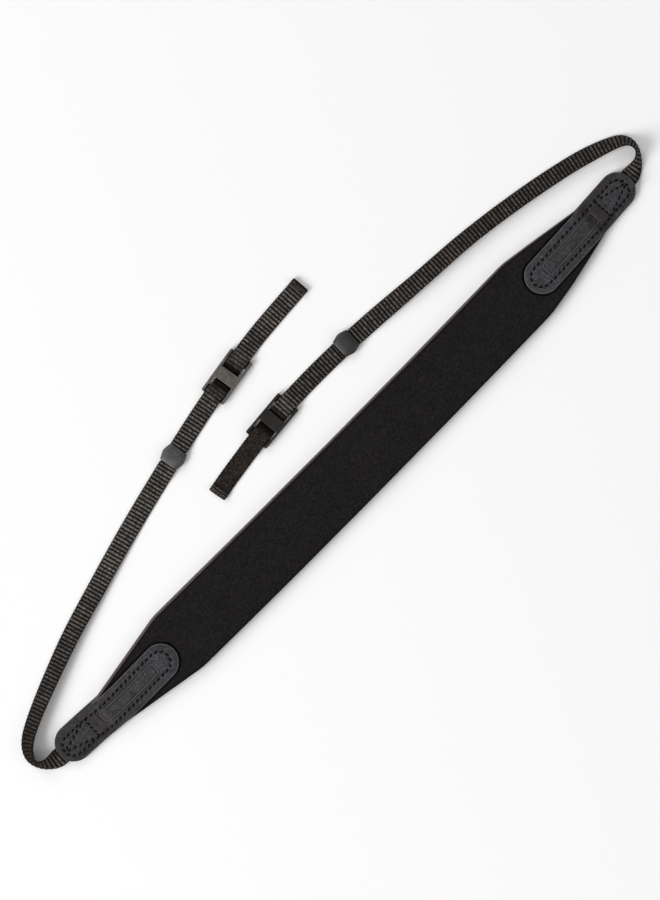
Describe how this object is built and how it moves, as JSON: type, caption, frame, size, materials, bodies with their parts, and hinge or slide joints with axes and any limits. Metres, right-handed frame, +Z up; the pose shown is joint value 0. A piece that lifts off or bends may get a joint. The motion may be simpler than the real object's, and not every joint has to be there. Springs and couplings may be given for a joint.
{
  "type": "camera neck strap",
  "caption": "Padded neck strap for a camera, lying flat: a tapered foam pad, leather end tabs and narrow webbings with keepers and ladder slides.",
  "frame": {"origin": "on the table, under the middle of the strap's bounding box", "axes": "+Z up from the table; +Y away from the viewer in the picture taken from above, and +X to its right"},
  "size_m": [0.3296, 0.3372, 0.0101],
  "materials": {
    "pad_cloth": "matt, fine knit",
    "tab_leather": "fine grain, half matt",
    "webbing": "cross-ribbed weave",
    "keeper_rubber": "smooth, half matt",
    "buckle_plastic": "moulded, fine texture"
  },
  "bodies": {
    "root": {"neck_pad": "pad_cloth", "tab_1_face": "tab_leather", "tab_1_back": "tab_leather", "tab_2_face": "tab_leather", "tab_2_back": "tab_leather", "webbing_1": "webbing", "webbing_2": "webbing", "keeper_1": "keeper_rubber", "keeper_2": "keeper_rubber", "buckle_1": "buckle_plastic", "buckle_2": "buckle_plastic"}
  },
  "joints": []
}
